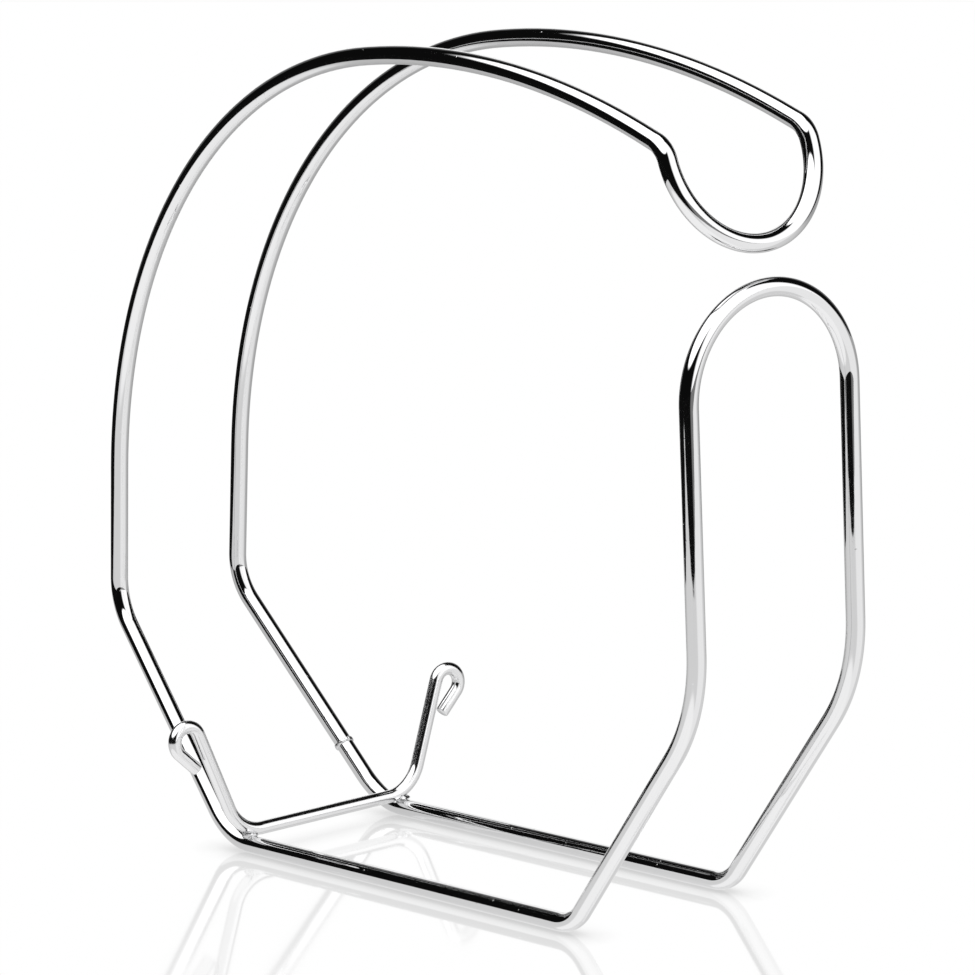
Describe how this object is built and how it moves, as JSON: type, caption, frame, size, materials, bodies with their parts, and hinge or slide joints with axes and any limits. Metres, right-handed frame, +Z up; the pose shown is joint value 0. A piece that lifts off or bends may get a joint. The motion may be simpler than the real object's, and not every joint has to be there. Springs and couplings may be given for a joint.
{
  "type": "valet stand",
  "caption": "Tabletop valet stand of bent chromed wire: parallel rails curve up and over from a flat base, with a front arch, a hanging loop and low curled hooks.",
  "frame": {"origin": "on the surface the stand rests on, below the middle of the frame's width and depth", "axes": "+Z up, -Y towards the front arch, +Y towards the hooks and the rising back, X across the two rails"},
  "size_m": [0.1254, 0.3213, 0.2753],
  "materials": {
    "chrome": "mirror polished chrome plate on round steel wire",
    "weld": "plated weld metal, slightly rough"
  },
  "bodies": {
    "root": {"frame_wire": "chrome", "hook_crossbar": "chrome", "frame_butt_weld": "weld", "crossbar_weld_left": "weld", "crossbar_weld_right": "weld"}
  },
  "joints": []
}
